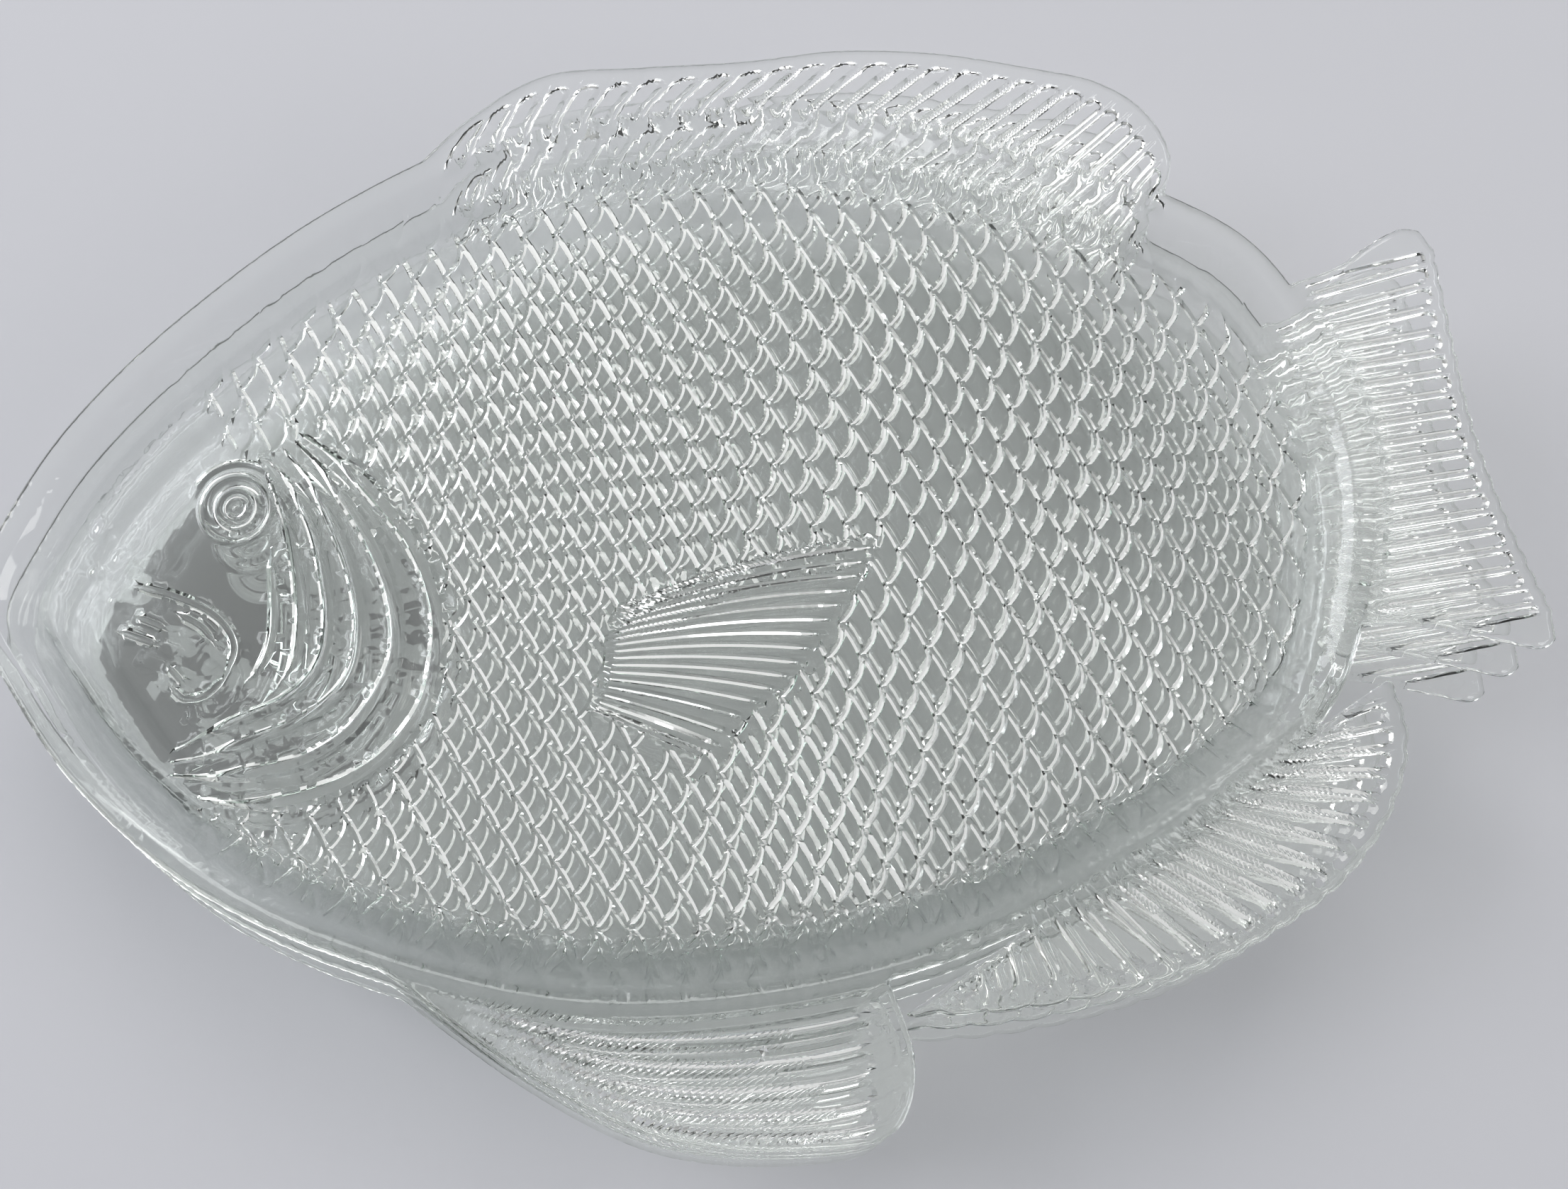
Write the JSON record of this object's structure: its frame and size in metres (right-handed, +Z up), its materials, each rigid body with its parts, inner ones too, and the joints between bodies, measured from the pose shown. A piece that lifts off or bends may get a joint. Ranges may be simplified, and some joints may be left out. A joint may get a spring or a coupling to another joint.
{
  "type": "fish shaped platter",
  "caption": "Nested stack of fish shaped serving platters in clear pressed glass, with a sloping wall, flat fluted fins and a scaled fish relief underneath, for serving fish.",
  "frame": {"origin": "centre of the stack's bounding box in plan, at the height of the bottom platter's foot", "axes": "+X from the fish's nose to its tail, +Y towards the back fin, +Z up out of the dish"},
  "size_m": [0.4028, 0.2942, 0.0517],
  "materials": {
    "clear_glass": "clear pressed glass with a slight grey-green cast, fire-polished smooth above, relief below"
  },
  "bodies": {
    "bottom_platter": {"platter_bottom": "clear_glass"},
    "middle_platter": {"platter_middle": "clear_glass"},
    "top_platter": {"platter_top": "clear_glass"}
  },
  "joints": [
    {"name": "middle_platter_lift", "type": "slide", "parent": "bottom_platter", "child": "middle_platter", "axis": [0, 0, 1], "range_m": [0, 0.06]},
    {"name": "top_platter_lift", "type": "slide", "parent": "middle_platter", "child": "top_platter", "axis": [0, 0, 1], "range_m": [0, 0.06]}
  ]
}
